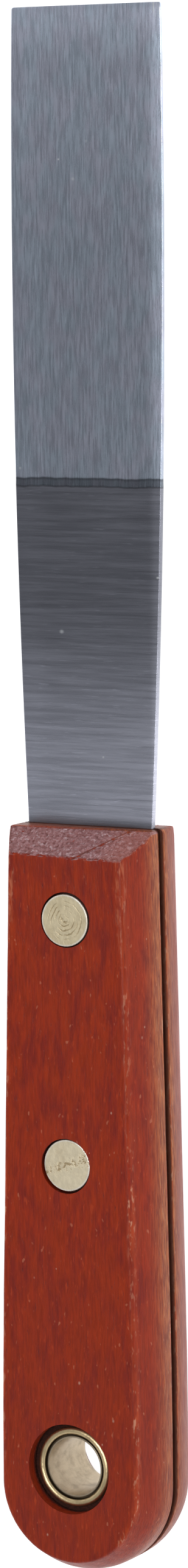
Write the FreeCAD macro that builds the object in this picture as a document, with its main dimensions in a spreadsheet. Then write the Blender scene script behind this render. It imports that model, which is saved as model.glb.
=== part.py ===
"""Flexible putty knife with a riveted two-piece wooden handle.

The knife lies on the back of its handle. +X runs across the blade, +Y from the butt of the
handle to the tip of the blade, and +Z out of the front face. The origin is on the resting
plane, under the middle of the overall length.

Each piece is drawn in a frame of its own and then placed. In the blade and the two handle
scales, y = 0 is the front end of the handle. In the turned pieces, the Z axis is the axis of
turning and z = 0 is the plane on which the head or flange sits.
"""
import FreeCAD, Part
import os

import Sketcher

DIMENSIONS = [
    # steel
    ("tip_width", 25.0),
    ("blade_reach", 121.2),
    ("entry_width", 21.1),
    ("blade_side_radius", 1900.0),
    ("steel_thickness", 1.0),
    ("tip_thickness", 0.5),
    ("grind_start", 50.8),
    ("grind_runout", 1.2),
    ("grind_step", 0.07),
    # wood
    ("handle_length", 113.3),
    ("handle_thickness", 17.2),
    ("handle_front_width", 23.4),
    ("butt_radius", 13.65),
    ("flank_length", 29.0),
    ("flank_bevel_width", 2.3),
    ("flank_bevel_height", 4.3),
    ("flank_round", 9.0),
    ("crease_round", 0.5),
    ("seam_break", 0.3),
    ("blank_waste", 4.0),
    ("corner_round", 0.9),
    ("bevel_land_left", 4.9),
    ("bevel_land_right", 1.6),
    ("bevel_length_left", 3.35),
    ("bevel_length_right", 3.8),
    # rivets
    ("front_rivet_setback", 13.35),
    ("rear_rivet_setback", 50.3),
    ("front_rivet_recess", 0.05),
    ("rear_rivet_recess", 0.22),
    ("rivet_head_radius", 3.92),
    ("rivet_head_height", 1.2),
    ("rivet_head_break", 0.15),
    ("rivet_tube_radius", 2.4),
    ("rivet_shank_radius", 1.7),
    ("rivet_hole_play", 0.05),
    ("rivet_end_gap", 0.6),
    ("counterbore_play", 0.12),
    ("counterbore_drift", 0.1),
    # hanging eyelet
    ("eyelet_setback", 96.7),
    ("eyelet_bore_radius", 4.45),
    ("eyelet_tube_radius", 4.75),
    ("sleeve_radius", 5.2),
    ("sleeve_depth", 7.5),
    ("bead_radius", 6.12),
    ("bead_height", 0.9),
    ("bead_crown", 0.5),
    ("bead_recess", 1.45),
    ("lip_groove_width", 0.2),
    ("lip_groove_depth", 0.35),
    ("tube_rim_drop", 0.45),
    ("flare_radius", 1.5),
    ("flare_recess", 2.7),
    ("eyelet_hole_radius", 5.3),
    ("eyelet_counterbore_radius", 6.85),
    ("eyelet_hole_break", 0.95),
]

ORIGIN_POINT = (-1, 1)
WHOLE_TURN = 360.0
TINY = 1e-3


def make_dimension_sheet(doc):
    """Put the driving dimensions in a sheet, one named cell each."""
    sheet = doc.addObject("Spreadsheet::Sheet", "dims")
    for row, (name, value) in enumerate(DIMENSIONS, start=1):
        sheet.set(f"A{row}", name)
        sheet.set(f"B{row}", str(value))
        sheet.setAlias(f"B{row}", name)
    doc.recompute()
    return sheet


def add_body(doc, label, place):
    """Start a piece and bind its place, given as an expression for each axis."""
    body = doc.addObject("PartDesign::Body", label)
    body.Label = label
    for axis, formula in place.items():
        body.setExpression(f"Placement.Base.{axis}", formula)
    return body


def turn_over(body):
    """Turn a piece half a turn about Y, so that its front faces the back of the knife."""
    body.Placement.Rotation = FreeCAD.Rotation(FreeCAD.Vector(0, 1, 0), WHOLE_TURN / 2)


def add_sketch(body, name, plane_role, lift=None):
    """Add a sketch on one of the body's own origin planes, lifted off it if asked."""
    sketch = body.newObject("Sketcher::SketchObject", name)
    planes = [item for item in body.Origin.OriginFeatures if item.Role == plane_role]
    sketch.AttachmentSupport = (planes[0], [""])
    sketch.MapMode = "FlatFace"
    if lift:
        sketch.setExpression("AttachmentOffset.Base.z", lift)
    return sketch


def bind(sketch, kind, references, formula):
    """Add a dimension to a sketch and tie it to a formula of the sheet's cells."""
    value = float(sketch.evalExpression(formula))
    index = sketch.addConstraint(Sketcher.Constraint(kind, *references, value))
    sketch.setExpression(f"Constraints[{index}]", formula)


def arc_through(start, end, radius):
    """Arc of the given radius from start to end; a negative radius runs clockwise."""
    chord = end - start
    middle = (start + end) * 0.5
    rise = max(radius * radius - chord.Length ** 2 / 4, 0) ** 0.5
    left = FreeCAD.Vector(-chord.y, chord.x, 0).normalize()
    towards = 1 if radius > 0 else -1
    centre = middle + left * rise * towards
    mid_arc = centre + (middle - centre).normalize() * abs(radius)
    return Part.Arc(start, mid_arc, end)


class Corner:
    """Where an edge of an outline starts.

    x and y are formulas. An arc has the formula of its radius too: positive when it turns
    left, negative when it turns right. A smooth corner joins its two edges in one line. A
    formula that starts with "about " is only a first guess, for a place that the smooth
    corners settle.
    """

    def __init__(self, x, y, radius=None, smooth=False):
        self.x = x
        self.y = y
        self.radius = radius
        self.smooth = smooth


def trace(sketch, corners):
    """Draw a closed outline from its corners and fix it to the sheet."""
    def value_of(formula):
        return float(sketch.evalExpression(formula.replace("about ", "")))

    points = [FreeCAD.Vector(value_of(corner.x), value_of(corner.y), 0) for corner in corners]
    start_ends = []
    for index, corner in enumerate(corners):
        start = points[index]
        end = points[(index + 1) % len(points)]
        if corner.radius is None:
            sketch.addGeometry(Part.LineSegment(start, end))
            start_ends.append((1, 2))
        else:
            radius = value_of(corner.radius)
            sketch.addGeometry(arc_through(start, end, radius))
            start_ends.append((1, 2) if radius > 0 else (2, 1))

    for index, corner in enumerate(corners):
        before = (index - 1) % len(corners)
        joint = (before, start_ends[before][1], index, start_ends[index][0])
        kind = "Tangent" if corner.smooth else "Coincident"
        sketch.addConstraint(Sketcher.Constraint(kind, *joint))
        for kind, formula in (("DistanceX", corner.x), ("DistanceY", corner.y)):
            if not formula.startswith("about "):
                bind(sketch, kind, (*ORIGIN_POINT, index, start_ends[index][0]), formula)
        if corner.radius and not corner.radius.startswith("about "):
            bind(sketch, "Radius", (index,), f"abs({corner.radius})")


def volume_of(body):
    """Volume of the piece as built so far."""
    body.Document.recompute()
    return body.Shape.Volume


def pad(body, sketch, length, symmetric=False):
    """Raise a sketch into a solid."""
    feature = body.newObject("PartDesign::Pad", f"{sketch.Name}_pad")
    feature.Profile = sketch
    feature.setExpression("Length", length)
    feature.SideType = "Symmetric" if symmetric else "One side"
    body.Document.recompute()
    return feature


def pocket(body, sketch, depth=None, symmetric=False):
    """Cut a sketch out of a piece, right through unless a depth is given."""
    volume_before = volume_of(body)
    feature = body.newObject("PartDesign::Pocket", f"{sketch.Name}_cut")
    feature.Profile = sketch
    feature.SideType = "Symmetric" if symmetric else "One side"
    if depth:
        feature.setExpression("Length", depth)
    else:
        feature.Type = "ThroughAll"
    if volume_of(body) > volume_before - TINY:
        raise RuntimeError(f"{feature.Name} removes nothing")
    return feature


def drill(body, name, centre, radius, top, depth=None):
    """Sink a round hole from the height "top" downwards, right through without a depth."""
    sketch = add_sketch(body, name, "XY_Plane", lift=top)
    start_radius = float(sketch.evalExpression(radius))
    start_centre = [float(sketch.evalExpression(formula)) for formula in centre]
    hole = Part.Circle(FreeCAD.Vector(*start_centre, 0), FreeCAD.Vector(0, 0, 1), start_radius)
    sketch.addGeometry(hole)
    bind(sketch, "Radius", (0,), radius)
    bind(sketch, "DistanceX", (*ORIGIN_POINT, 0, 3), centre[0])
    bind(sketch, "DistanceY", (*ORIGIN_POINT, 0, 3), centre[1])
    return pocket(body, sketch, depth)


def edges_where(body, test):
    """Names of the edges whose box passes the test."""
    body.Document.recompute()
    return [f"Edge{number}" for number, edge in enumerate(body.Tip.Shape.Edges, start=1)
            if test(edge.BoundBox)]


def soften(body, kind, name, size, test):
    """Round (kind "Fillet") or bevel (kind "Chamfer") the edges that pass the test."""
    edges = edges_where(body, test)
    if not edges:
        raise RuntimeError(f"{name} finds no edges")
    base = body.Tip
    feature = body.newObject(f"PartDesign::{kind}", name)
    feature.Base = (base, edges)
    feature.setExpression("Radius" if kind == "Fillet" else "Size", size)
    body.Document.recompute()
    return feature


def revolve(body, sketch):
    """Turn a sketch all the way round the body's Z axis."""
    feature = body.newObject("PartDesign::Revolution", f"{sketch.Name}_turned")
    feature.Profile = sketch
    feature.ReferenceAxis = (sketch, ["V_Axis"])
    feature.Angle = WHOLE_TURN
    body.Document.recompute()
    return feature


HANDLE_FRONT_Y = "(dims.handle_length - dims.blade_reach) / 2"
MID_PLANE_Z = "dims.handle_thickness / 2"
BUTT_CENTRE_Y = "(dims.butt_radius - dims.handle_length)"
FLANK_SLOPE = ("((dims.butt_radius - dims.handle_front_width / 2)"
               " / (dims.handle_length - dims.butt_radius - dims.flank_length / 2))")
SCALE_THICKNESS = "(dims.handle_thickness - dims.steel_thickness) / 2"
WALL_HEIGHT = f"({SCALE_THICKNESS} - dims.flank_bevel_height)"
RIVET_HOLE_RADIUS = "dims.rivet_tube_radius + dims.rivet_hole_play"
RIVETS = {"front_rivet": "1", "rear_rivet": "-1"}


def make_blade(doc):
    """One strip of spring steel: the flexible blade and the tang inside the handle."""
    body = add_body(doc, "blade", {"y": HANDLE_FRONT_Y, "z": MID_PLANE_Z})
    outline = add_sketch(body, "blade_outline", "XY_Plane")
    tip = "dims.tip_width / 2"
    entry = "dims.entry_width / 2"
    trace(outline, [
        Corner(f"-{tip}", "dims.blade_reach", "dims.blade_side_radius"),
        Corner(f"-{entry}", "0"),
        Corner(f"-{entry}", BUTT_CENTRE_Y, entry),
        Corner("0", f"{BUTT_CENTRE_Y} - {entry}", entry),
        Corner(entry, BUTT_CENTRE_Y),
        Corner(entry, "0", "dims.blade_side_radius"),
        Corner(tip, "dims.blade_reach"),
    ])
    pad(body, outline, "dims.steel_thickness", symmetric=True)
    for side, sign in (("front", ""), ("back", "-")):
        grind_one_side(body, side, sign)
    top = "dims.steel_thickness / 2"
    for rivet in RIVETS:
        drill(body, f"tang_{rivet}_hole", ("0", f"-dims.{rivet}_setback"), RIVET_HOLE_RADIUS, top)
    drill(body, "tang_eyelet_hole", ("0", "-dims.eyelet_setback"), "dims.eyelet_hole_radius", top)
    return body


def grind_one_side(body, side, sign):
    """Taper-grind one face towards the tip, with the small hollow where the wheel ran out."""
    sketch = add_sketch(body, f"{side}_grind", "YZ_Plane")
    face = "dims.steel_thickness / 2"
    runout_end = "dims.grind_start + dims.grind_runout"
    beyond = "dims.blade_reach + dims.grind_runout"
    hollow_radius = f"{sign}1 * dims.grind_runout ^ 2 / (2 * dims.grind_step)"
    trace(sketch, [
        Corner("dims.grind_start", f"{sign}{face}", hollow_radius),
        Corner(runout_end, f"{sign}({face} - dims.grind_step)"),
        Corner(beyond, f"{sign}dims.tip_thickness / 2"),
        Corner(beyond, f"{sign}dims.steel_thickness"),
        Corner("dims.grind_start", f"{sign}dims.steel_thickness"),
    ])
    pocket(body, sketch, symmetric=True)


def trace_blank(body, name, lift=None):
    """Draw the handle's outline, with some waste left on beyond its front end."""
    half_blank = f"(dims.handle_front_width / 2 - {FLANK_SLOPE} * dims.blank_waste)"
    flank_top = f"{BUTT_CENTRE_Y} + dims.flank_length"
    flank_x = f"(dims.butt_radius - {FLANK_SLOPE} * dims.flank_length / 2)"
    flank_radius = f"about dims.flank_length / {FLANK_SLOPE}"
    outline = add_sketch(body, name, "XY_Plane", lift)
    trace(outline, [
        Corner(f"-{half_blank}", "dims.blank_waste"),
        Corner(f"about -{flank_x}", flank_top, flank_radius, smooth=True),
        Corner("-dims.butt_radius", BUTT_CENTRE_Y, "dims.butt_radius", smooth=True),
        Corner("0", "-dims.handle_length", "dims.butt_radius"),
        Corner("dims.butt_radius", BUTT_CENTRE_Y, flank_radius, smooth=True),
        Corner(f"about {flank_x}", flank_top, smooth=True),
        Corner(half_blank, "dims.blank_waste"),
    ])
    return outline


def make_scale(doc, label):
    """One wooden half of the handle, drawn with its seam face down at z = 0.

    Its flanks stand upright at the seam, curve inwards and meet the face in a crease.
    """
    body = add_body(doc, label, {"y": HANDLE_FRONT_Y})
    pad(body, trace_blank(body, f"{label}_wall"), WALL_HEIGHT)
    crown = pad(body, trace_blank(body, f"{label}_crown", WALL_HEIGHT), "dims.flank_bevel_height")
    crown.setExpression("TaperAngle", "-atan(dims.flank_bevel_width / dims.flank_bevel_height)")

    def along_outline_at(height):
        """Test for the edges that follow the outline at that height."""
        level = float(crown.evalExpression(height))
        return lambda box: abs(box.ZMin - level) < TINY and box.ZLength < TINY < box.YLength

    soften(body, "Chamfer", f"{label}_seam_break", "dims.seam_break", along_outline_at("0"))
    soften(body, "Fillet", f"{label}_flank_round", "dims.flank_round",
           along_outline_at(WALL_HEIGHT))
    soften(body, "Fillet", f"{label}_crease", "dims.crease_round",
           along_outline_at(SCALE_THICKNESS))
    trim_front_end(body, label)
    bevel_front_end(body, label)
    sink_scale_holes(body, label)
    return body


def trim_front_end(body, label):
    """Cut off the waste, square to the blade and with two rounded corners."""
    sketch = add_sketch(body, f"{label}_front_end", "XY_Plane", SCALE_THICKNESS)
    corner = "dims.corner_round"
    flat_end = f"(dims.handle_front_width / 2 - {corner})"
    flank = f"(dims.handle_front_width / 2 + {FLANK_SLOPE} * {corner})"
    trace(sketch, [
        Corner("-dims.butt_radius", f"-{corner}"),
        Corner(f"-{flank}", f"-{corner}", f"-1 * {corner}"),
        Corner(f"-{flat_end}", "0"),
        Corner(flat_end, "0", f"-1 * {corner}"),
        Corner(flank, f"-{corner}"),
        Corner("dims.butt_radius", f"-{corner}"),
        Corner("dims.butt_radius", "2 * dims.blank_waste"),
        Corner("-dims.butt_radius", "2 * dims.blank_waste"),
    ])
    pocket(body, sketch)


def bevel_front_end(body, label):
    """Slope the front end back to the face, above an upright land.

    The bevel is sanded by hand, so its land is taller on the left than on the right. The two
    ends of the cut lie as far out as the flanks of the butt.
    """
    volume_before = volume_of(body)
    sides = []
    for side, sign in (("left", "-"), ("right", "")):
        sketch = add_sketch(body, f"{label}_{side}_bevel", "YZ_Plane", f"{sign}dims.butt_radius")
        land = f"dims.bevel_land_{side}"
        length = f"dims.bevel_length_{side}"
        above = f"{SCALE_THICKNESS} + {length}"
        trace(sketch, [
            Corner("0", land),
            Corner(length, land),
            Corner(length, above),
            Corner(f"-{length} * (1 + {length} / ({SCALE_THICKNESS} - {land}))", above),
        ])
        sides.append(sketch)
    cut = body.newObject("PartDesign::SubtractiveLoft", f"{label}_bevel")
    cut.Profile = sides[0]
    cut.Sections = [sides[1]]
    cut.Ruled = True
    if volume_of(body) > volume_before - TINY:
        raise RuntimeError(f"{cut.Name} removes nothing")


def sink_scale_holes(body, label):
    """Rivet and eyelet holes with their counterbores, drilled from the outer face."""
    for rivet, drift_sign in RIVETS.items():
        centre_y = f"-dims.{rivet}_setback"
        drift = f"{drift_sign} * dims.counterbore_drift"
        drill(body, f"{label}_{rivet}_counterbore", (drift, f"{centre_y} + {drift}"),
              "dims.rivet_head_radius + dims.counterbore_play + dims.counterbore_drift",
              SCALE_THICKNESS, f"dims.{rivet}_recess + dims.rivet_head_height")
        drill(body, f"{label}_{rivet}_hole", ("0", centre_y), RIVET_HOLE_RADIUS, SCALE_THICKNESS)


def sink_eyelet_hole(body, label, seat_depth):
    """Stepped hole for the hanging eyelet, with its counterbore "seat_depth" deep."""
    centre = ("0", "-dims.eyelet_setback")
    drill(body, f"{label}_eyelet_counterbore", centre, "dims.eyelet_counterbore_radius",
          SCALE_THICKNESS, seat_depth)
    drill(body, f"{label}_eyelet_hole", centre, "dims.eyelet_hole_radius", SCALE_THICKNESS)


def make_front_scale(doc):
    """The wooden half on the front of the tang."""
    body = make_scale(doc, "front_scale")
    sink_eyelet_hole(body, "front_scale", "dims.bead_recess + dims.bead_height")
    body.setExpression("Placement.Base.z", f"{MID_PLANE_Z} + dims.steel_thickness / 2")
    return body


def make_back_scale(doc):
    """The wooden half behind the tang: the same blank turned over."""
    body = make_scale(doc, "back_scale")
    seat_depth = "dims.flare_recess + dims.eyelet_tube_radius - dims.eyelet_bore_radius"
    sink_eyelet_hole(body, "back_scale", seat_depth)
    hole_radius = float(body.evalExpression("dims.eyelet_hole_radius"))
    seat_z = float(body.evalExpression(f"{SCALE_THICKNESS} - ({seat_depth})"))
    soften(body, "Chamfer", "back_scale_flare_seat", "dims.eyelet_hole_break",
           lambda box: abs(box.XLength - 2 * hole_radius) < TINY and box.ZMin > seat_z - TINY)
    body.setExpression("Placement.Base.z", f"{MID_PLANE_Z} - dims.steel_thickness / 2")
    turn_over(body)
    return body


def seat_to_seat(rivet):
    """Formula for the distance between the seats of a rivet's two heads."""
    return f"(dims.handle_thickness - 2 * (dims.{rivet}_recess + dims.rivet_head_height))"


def head_corners():
    """Corners of a rivet head, from the rim of its seat round to the middle of its face."""
    rim = "dims.rivet_head_radius"
    top = "dims.rivet_head_height"
    edge = "dims.rivet_head_break"
    return [
        Corner(rim, "0"),
        Corner(rim, f"{top} - {edge}", edge),
        Corner(f"{rim} - {edge}", top),
        Corner("0", top),
    ]


def make_rivet_half(doc, label, rivet, foot_corners, place_z):
    """A turned rivet half: a flat head and, below its seat, the corners that are given."""
    place_y = f"{HANDLE_FRONT_Y} - dims.{rivet}_setback"
    body = add_body(doc, label, {"y": place_y, "z": place_z})
    profile = add_sketch(body, f"{label}_profile", "XZ_Plane")
    trace(profile, foot_corners + head_corners())
    revolve(body, profile)
    return body


def make_rivet_post(doc, rivet):
    """The half with a solid post, whose head shows on the front of the handle."""
    shank = "dims.rivet_shank_radius"
    foot = f"dims.rivet_end_gap - {seat_to_seat(rivet)}"
    corners = [Corner("0", foot), Corner(shank, foot), Corner(shank, "0")]
    seat = f"dims.handle_thickness - dims.{rivet}_recess - dims.rivet_head_height"
    return make_rivet_half(doc, f"{rivet}_post", rivet, corners, seat)


def make_rivet_socket(doc, rivet):
    """The half with a tube that takes the post, with its head on the back of the handle."""
    tube = "dims.rivet_tube_radius"
    bore = "dims.rivet_shank_radius"
    mouth = f"dims.rivet_end_gap - {seat_to_seat(rivet)}"
    corners = [
        Corner("0", "0"),
        Corner(bore, "0"),
        Corner(bore, mouth),
        Corner(tube, mouth),
        Corner(tube, "0"),
    ]
    seat = f"dims.{rivet}_recess + dims.rivet_head_height"
    body = make_rivet_half(doc, f"{rivet}_socket", rivet, corners, seat)
    turn_over(body)
    return body


def make_eyelet_sleeve(doc):
    """The front half of the eyelet: a brass sleeve whose rounded bead stands off the tube's rim."""
    place_z = "dims.handle_thickness - dims.bead_recess - dims.bead_height"
    place_y = f"{HANDLE_FRONT_Y} - dims.eyelet_setback"
    body = add_body(doc, "eyelet_sleeve", {"y": place_y, "z": place_z})
    profile = add_sketch(body, "sleeve_profile", "XZ_Plane")
    inner = "dims.eyelet_tube_radius"
    lip = f"({inner} + dims.lip_groove_width)"
    outer = "dims.bead_radius"
    middle = f"({lip} + {outer}) / 2"
    shoulder = "(dims.bead_height - dims.bead_crown)"
    half_width = f"(({outer} - {lip}) / 2)"
    crown_radius = f"({half_width} ^ 2 + dims.bead_crown ^ 2) / (2 * dims.bead_crown)"
    groove_floor = f"{shoulder} - dims.lip_groove_depth"
    trace(profile, [
        Corner(inner, "-dims.sleeve_depth"),
        Corner("dims.sleeve_radius", "-dims.sleeve_depth"),
        Corner("dims.sleeve_radius", "0"),
        Corner(outer, "0"),
        Corner(outer, shoulder, crown_radius),
        Corner(middle, "dims.bead_height", crown_radius),
        Corner(lip, shoulder),
        Corner(lip, groove_floor),
        Corner(inner, groove_floor),
    ])
    revolve(body, profile)
    return body


def make_eyelet_tube(doc):
    """The back half of the eyelet: a tube inside the sleeve, flared over at the back."""
    wall = "(dims.eyelet_tube_radius - dims.eyelet_bore_radius)"
    place_y = f"{HANDLE_FRONT_Y} - dims.eyelet_setback"
    body = add_body(doc, "eyelet_tube", {"y": place_y, "z": f"dims.flare_recess + {wall}"})
    profile = add_sketch(body, "tube_profile", "XZ_Plane")
    bend_z = "dims.flare_radius"
    rim = f"dims.handle_thickness - dims.bead_recess - dims.tube_rim_drop - dims.flare_recess - {wall}"
    mouth = "dims.eyelet_tube_radius + dims.flare_radius"
    trace(profile, [
        Corner("dims.eyelet_tube_radius", rim),
        Corner("dims.eyelet_bore_radius", rim),
        Corner("dims.eyelet_bore_radius", bend_z, f"dims.flare_radius + {wall}"),
        Corner(mouth, f"-{wall}"),
        Corner(mouth, "0", "-1 * dims.flare_radius"),
        Corner("dims.eyelet_tube_radius", bend_z),
    ])
    revolve(body, profile)
    return body


def check_document(doc, pieces):
    """Stop if any object failed or any piece is not one valid solid."""
    doc.recompute()
    for item in doc.Objects:
        if "Invalid" in item.State or "Error" in item.State:
            raise RuntimeError(f"{item.Name} failed: {item.State}")
    for piece in pieces:
        shape = piece.Shape
        if shape.isNull() or not shape.isValid() or len(shape.Solids) != 1:
            raise RuntimeError(f"{piece.Label} is not one valid solid")


def write_steps(pieces):
    """Write each piece to its own STEP file, named after its label."""
    os.makedirs("parts", exist_ok=True)
    for piece in pieces:
        piece.Shape.exportStep(f"parts/{piece.Label}.step")
        print(f"{piece.Label}: {piece.Shape.Volume:.1f} mm3, {piece.Shape.BoundBox}")


def main():
    doc = FreeCAD.newDocument("putty_knife")
    make_dimension_sheet(doc)
    pieces = [make_blade(doc), make_front_scale(doc), make_back_scale(doc)]
    for rivet in RIVETS:
        pieces.append(make_rivet_post(doc, rivet))
        pieces.append(make_rivet_socket(doc, rivet))
    pieces.append(make_eyelet_sleeve(doc))
    pieces.append(make_eyelet_tube(doc))
    check_document(doc, pieces)
    write_steps(pieces)


main()
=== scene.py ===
"""Finishes and worn detail of the flexible putty knife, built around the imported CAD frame.

The blade and the two wooden handle scales are made here again in more detail: the blade with
crowned faces and eased edges, the scales with a rough-sanded front end, ragged seam edges and
small dents. The rivets and the hanging eyelet keep their CAD shape and get their finish.
Lengths are in metres, in the frame's own axes: +Y runs from the butt to the tip, +Z out of the
front face.
"""
import math
import random
from types import SimpleNamespace

import bmesh
import bpy
import numpy as np
from mathutils import Matrix, Vector, noise


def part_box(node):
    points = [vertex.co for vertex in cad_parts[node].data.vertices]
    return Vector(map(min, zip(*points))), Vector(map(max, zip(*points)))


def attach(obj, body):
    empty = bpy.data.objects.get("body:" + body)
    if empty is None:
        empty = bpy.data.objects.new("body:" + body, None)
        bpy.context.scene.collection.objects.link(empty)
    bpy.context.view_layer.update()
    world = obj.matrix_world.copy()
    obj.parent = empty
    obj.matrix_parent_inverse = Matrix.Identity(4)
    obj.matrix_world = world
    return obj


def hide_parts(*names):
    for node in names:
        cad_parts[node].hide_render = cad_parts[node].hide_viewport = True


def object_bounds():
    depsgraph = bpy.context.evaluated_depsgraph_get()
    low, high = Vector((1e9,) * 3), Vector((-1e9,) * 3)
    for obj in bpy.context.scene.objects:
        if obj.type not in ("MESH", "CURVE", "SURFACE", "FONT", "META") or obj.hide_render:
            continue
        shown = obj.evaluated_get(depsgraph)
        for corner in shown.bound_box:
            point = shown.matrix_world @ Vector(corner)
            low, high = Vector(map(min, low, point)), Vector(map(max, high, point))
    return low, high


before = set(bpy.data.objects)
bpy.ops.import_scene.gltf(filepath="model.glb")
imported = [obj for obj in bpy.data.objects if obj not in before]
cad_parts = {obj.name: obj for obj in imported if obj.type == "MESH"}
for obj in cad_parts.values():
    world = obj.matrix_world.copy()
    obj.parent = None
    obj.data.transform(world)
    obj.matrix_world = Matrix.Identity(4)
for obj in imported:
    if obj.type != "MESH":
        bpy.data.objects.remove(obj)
cad_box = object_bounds()

MM = 0.001
BLADE_LOW, BLADE_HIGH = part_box("blade")
FACE_LOW, FACE_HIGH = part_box("front_scale")
BACK_LOW, BACK_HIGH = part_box("back_scale")
TIP_Y = BLADE_HIGH.y
HANDLE_FRONT_Y = FACE_HIGH.y
BUTT_RADIUS = FACE_HIGH.x
BUTT_CENTRE_Y = FACE_LOW.y + BUTT_RADIUS
FLOOR_Z = BACK_LOW.z
MID_Z = (FACE_LOW.z + BACK_HIGH.z) / 2
STEEL_THICKNESS = BLADE_HIGH.z - BLADE_LOW.z
SCALE_THICKNESS = FACE_HIGH.z - FACE_LOW.z


def middle_of(node):
    """Middle of a CAD node's box."""
    low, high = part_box(node)
    return (low + high) / 2


FRONT_RIVET = middle_of("front_rivet_post")
REAR_RIVET = middle_of("rear_rivet_post")
EYELET = middle_of("eyelet_sleeve")
RIVET_HOLE_RADIUS = 2.45 * MM
RIVET_HEAD_RADIUS = 3.92 * MM
RIVET_COUNTERBORE_REACH = 4.2 * MM
EYELET_TUBE_RADIUS = 4.75 * MM
EYELET_LIP_RADIUS = 4.95 * MM
EYELET_HOLE_RADIUS = 5.3 * MM
EYELET_COUNTERBORE_REACH = 7.0 * MM
CUTTER_DEPTH = 60 * MM

# blade
TIP_HALF_WIDTH = 12.5 * MM
TANG_HALF_WIDTH = 10.55 * MM
SIDE_BOW = 0.966 * MM
TAPER_START_Y = HANDLE_FRONT_Y + 50.8 * MM
TAPER_RUNOUT = 1.2 * MM
TAPER_STEP = 0.07 * MM
TIP_THICKNESS = 0.5 * MM
TIP_CORNER_RADIUS = 0.3 * MM
EDGE_ROUND = 0.07 * MM
EDGE_STEPS = 4
CROWN_DROP = 0.05 * MM
CROWN_REACH = 1.1 * MM
FACE_COLUMNS = 26
FACE_CROWDING = 1.7
FACE_WAVE_DEPTH = 0.003 * MM
FACE_WAVE_SIZE = (5 * MM, 16 * MM)
TANG_END_STEPS = 12

# front bevel of the handle, measured as if it reached the left and right sides of the butt
BEVEL_LAND = (4.9 * MM, 1.6 * MM)
BEVEL_LENGTH = (3.35 * MM, 3.8 * MM)
TOOL_MARK_START = Vector((8.3 * MM, HANDLE_FRONT_Y, 0))
TOOL_MARK_END = Vector((2.5 * MM, HANDLE_FRONT_Y - 3.4 * MM, 0))
TOOL_MARK_DEPTH = 0.25 * MM
TOOL_MARK_WIDTH = 0.16 * MM

# worn skin of the handle
MERGE_GAP = 0.001 * MM
SKIN_OCTREE_DEPTH = 8
SKIN_FIT = 0.99
FINE_FRONT_LENGTH = 4.6 * MM
FINE_FRONT_CUTS = 2
SHARP_ANGLE = math.radians(55)
DENT_COUNT = 14
WAVE_DEPTH = 0.035 * MM
LUMP_DEPTH = 0.13 * MM
TEAR_DEPTH = 0.12 * MM
TEAR_SHIFT = 0.05
RAGGED_DEPTH = 0.08 * MM


# ---------------------------------------------------------------- mesh helpers

def new_piece(name, mesh):
    """Put a mesh into the scene as a smooth-shaded piece."""
    piece = bpy.data.objects.new(name, mesh)
    bpy.context.scene.collection.objects.link(piece)
    mesh.polygons.foreach_set("use_smooth", [True] * len(mesh.polygons))
    return piece


def apply_modifiers(piece):
    """Replace the piece's mesh by the result of its modifiers."""
    piece.data = bpy.data.meshes.new_from_object(
        piece.evaluated_get(bpy.context.evaluated_depsgraph_get()))
    piece.modifiers.clear()


def mesh_from_rings(rings):
    """Closed skin over rings of equally many points, with its two ends filled by strips."""
    mesh = bpy.data.meshes.new("skin")
    build = bmesh.new()
    rows = [[build.verts.new(point) for point in ring] for ring in rings]
    count = len(rows[0])
    for row, following in zip(rows, rows[1:]):
        for i in range(count):
            j = (i + 1) % count
            build.faces.new((row[i], row[j], following[j], following[i]))
    for row in (rows[0], rows[-1]):
        for i in range(count // 2 - 1):
            build.faces.new((row[i], row[i + 1], row[count - 2 - i], row[count - 1 - i]))
    bmesh.ops.recalc_face_normals(build, faces=build.faces)
    build.to_mesh(mesh)
    build.free()
    return mesh


def drill(piece, centre, radius):
    """Cut an upright round hole through a piece."""
    bpy.ops.mesh.primitive_cylinder_add(vertices=64, radius=radius, depth=CUTTER_DEPTH,
                                        location=(centre.x, centre.y, MID_Z))
    cutter = bpy.context.object
    cut = piece.modifiers.new("hole", "BOOLEAN")
    cut.operation = "DIFFERENCE"
    cut.solver = "EXACT"
    cut.object = cutter
    apply_modifiers(piece)
    bpy.data.objects.remove(cutter)


def points_of(mesh, attribute="co"):
    """Vertex places or normals as an array of rows."""
    values = np.empty(len(mesh.vertices) * 3)
    if attribute == "co":
        mesh.vertices.foreach_get("co", values)
    else:
        mesh.vertex_normals.foreach_get("vector", values)
    return values.reshape(-1, 3)


def cloud(points, size, octaves=3):
    """Smooth noise between about -1 and 1 at each point, for lumps of the given size."""
    scaled = points / np.asarray(size)
    return np.array([noise.fractal(Vector(row), 1.0, 2.0, octaves) for row in scaled])


def smooth_step(value, low, high):
    """Ease from 0 to 1 as the value goes from low to high."""
    share = np.clip((value - low) / (high - low), 0, 1)
    return share * share * (3 - 2 * share)


# ---------------------------------------------------------------- blade

def half_width_at(y):
    """Half the width of the steel strip at a place along it."""
    if y < BUTT_CENTRE_Y:
        back = BUTT_CENTRE_Y - y
        return math.sqrt(max(TANG_HALF_WIDTH ** 2 - back ** 2, 0))
    share = max(0, (y - HANDLE_FRONT_Y) / (TIP_Y - HANDLE_FRONT_Y))
    straight = TANG_HALF_WIDTH + (TIP_HALF_WIDTH - TANG_HALF_WIDTH) * share
    return straight + 4 * SIDE_BOW * share * (1 - share)


def half_thickness_at(y):
    """Half the thickness of the strip: full up to the taper, then ground thin to the tip."""
    full = STEEL_THICKNESS / 2
    into_taper = y - TAPER_START_Y
    if into_taper <= 0:
        return full
    if into_taper < TAPER_RUNOUT:
        left = 1 - into_taper / TAPER_RUNOUT
        return full - TAPER_STEP * (1 - left * left)
    share = (into_taper - TAPER_RUNOUT) / (TIP_Y - TAPER_START_Y - TAPER_RUNOUT)
    thick = full - TAPER_STEP
    return thick + (TIP_THICKNESS / 2 - thick) * share


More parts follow.
